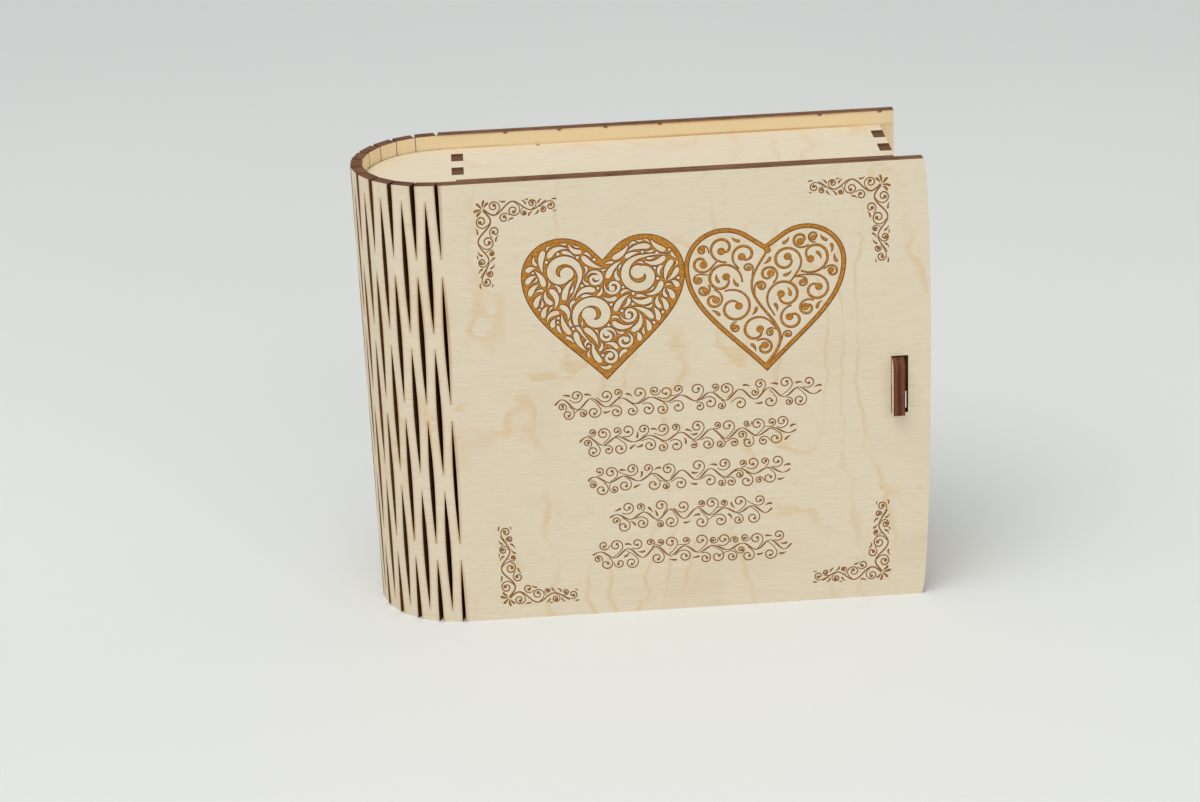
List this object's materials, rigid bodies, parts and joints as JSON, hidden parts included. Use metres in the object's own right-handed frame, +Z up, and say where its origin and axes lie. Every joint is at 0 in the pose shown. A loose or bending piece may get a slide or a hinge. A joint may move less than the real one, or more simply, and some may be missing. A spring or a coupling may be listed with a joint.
{
  "type": "wooden gift box",
  "caption": "Book-shaped plywood gift box: slit bending spine, hinged front cover over a shallow tray, sliding hook latch at the fore edge.",
  "frame": {"origin": "middle of the closed box's outline, on the surface it stands on", "axes": "+X runs along the covers to the fore edge, -Y is the way the front cover faces, +Z is up along the spine"},
  "size_m": [0.1917, 0.0622, 0.16],
  "materials": {
    "wrap": "bare birch plywood, laser-cut, edges scorched dark brown, front cover engraved",
    "liner": "bare thin birch board with scorched edges",
    "tray": "bare birch plywood with scorched finger-joint ends",
    "latch": "bare birch plywood with scorched edges"
  },
  "bodies": {
    "tray": {"back_cover": "wrap", "tray_bottom": "tray", "tray_top": "tray", "spine_wall": "tray", "fore_edge_wall": "tray"},
    "spine_leaf_11": {"spine_leaf_11": "wrap"},
    "spine_leaf_10": {"spine_leaf_10": "wrap"},
    "spine_leaf_09": {"spine_leaf_09": "wrap"},
    "spine_leaf_08": {"spine_leaf_08": "wrap"},
    "spine_leaf_07": {"spine_leaf_07": "wrap"},
    "spine_leaf_06": {"spine_leaf_06": "wrap"},
    "spine_leaf_05": {"spine_leaf_05": "wrap"},
    "spine_leaf_04": {"spine_leaf_04": "wrap"},
    "spine_leaf_03": {"spine_leaf_03": "wrap"},
    "spine_leaf_02": {"spine_leaf_02": "wrap"},
    "spine_leaf_01": {"spine_leaf_01": "wrap"},
    "front_cover": {"front_cover": "wrap", "front_liner": "liner"},
    "latch": {"latch_hook": "latch", "latch_inner_plate": "latch", "latch_thumb_plate": "latch"}
  },
  "joints": [
    {"name": "spine_fold_11", "type": "hinge", "parent": "tray", "child": "spine_leaf_11", "pos_m": [-0.06715, 0.03105, 0.08], "axis": [0, 0, -1], "range_deg": [0, 8.18]},
    {"name": "spine_fold_10", "type": "hinge", "parent": "spine_leaf_11", "child": "spine_leaf_10", "pos_m": [-0.07532, 0.02987, 0.08], "axis": [0, 0, -1], "range_deg": [0, 16.36]},
    {"name": "spine_fold_09", "type": "hinge", "parent": "spine_leaf_10", "child": "spine_leaf_09", "pos_m": [-0.08283, 0.02645, 0.08], "axis": [0, 0, -1], "range_deg": [0, 16.36]},
    {"name": "spine_fold_08", "type": "hinge", "parent": "spine_leaf_09", "child": "spine_leaf_08", "pos_m": [-0.08906, 0.02104, 0.08], "axis": [0, 0, -1], "range_deg": [0, 16.36]},
    {"name": "spine_fold_07", "type": "hinge", "parent": "spine_leaf_08", "child": "spine_leaf_07", "pos_m": [-0.09353, 0.0141, 0.08], "axis": [0, 0, -1], "range_deg": [0, 16.36]},
    {"name": "spine_fold_06", "type": "hinge", "parent": "spine_leaf_07", "child": "spine_leaf_06", "pos_m": [-0.09585, 0.00618, 0.08], "axis": [0, 0, -1], "range_deg": [0, 16.36]},
    {"name": "spine_fold_05", "type": "hinge", "parent": "spine_leaf_06", "child": "spine_leaf_05", "pos_m": [-0.09585, -0.00208, 0.08], "axis": [0, 0, -1], "range_deg": [0, 16.36]},
    {"name": "spine_fold_04", "type": "hinge", "parent": "spine_leaf_05", "child": "spine_leaf_04", "pos_m": [-0.09353, -0.01, 0.08], "axis": [0, 0, -1], "range_deg": [0, 16.36]},
    {"name": "spine_fold_03", "type": "hinge", "parent": "spine_leaf_04", "child": "spine_leaf_03", "pos_m": [-0.08906, -0.01694, 0.08], "axis": [0, 0, -1], "range_deg": [0, 16.36]},
    {"name": "spine_fold_02", "type": "hinge", "parent": "spine_leaf_03", "child": "spine_leaf_02", "pos_m": [-0.08283, -0.02235, 0.08], "axis": [0, 0, -1], "range_deg": [0, 16.36]},
    {"name": "spine_fold_01", "type": "hinge", "parent": "spine_leaf_02", "child": "spine_leaf_01", "pos_m": [-0.07532, -0.02577, 0.08], "axis": [0, 0, -1], "range_deg": [0, 16.36]},
    {"name": "spine_fold_00", "type": "hinge", "parent": "spine_leaf_01", "child": "front_cover", "pos_m": [-0.06715, -0.02695, 0.08], "axis": [0, 0, -1], "range_deg": [0, 8.18]},
    {"name": "latch_slide", "type": "slide", "parent": "tray", "child": "latch", "axis": [0, 0, 1], "range_m": [-0.0095, 0]}
  ],
  "couplings": [
    {"joint": "spine_fold_10", "follows": "spine_fold_11", "ratio": 2},
    {"joint": "spine_fold_09", "follows": "spine_fold_11", "ratio": 2},
    {"joint": "spine_fold_08", "follows": "spine_fold_11", "ratio": 2},
    {"joint": "spine_fold_07", "follows": "spine_fold_11", "ratio": 2},
    {"joint": "spine_fold_06", "follows": "spine_fold_11", "ratio": 2},
    {"joint": "spine_fold_05", "follows": "spine_fold_11", "ratio": 2},
    {"joint": "spine_fold_04", "follows": "spine_fold_11", "ratio": 2},
    {"joint": "spine_fold_03", "follows": "spine_fold_11", "ratio": 2},
    {"joint": "spine_fold_02", "follows": "spine_fold_11", "ratio": 2},
    {"joint": "spine_fold_01", "follows": "spine_fold_11", "ratio": 2},
    {"joint": "spine_fold_00", "follows": "spine_fold_11", "ratio": 1}
  ]
}
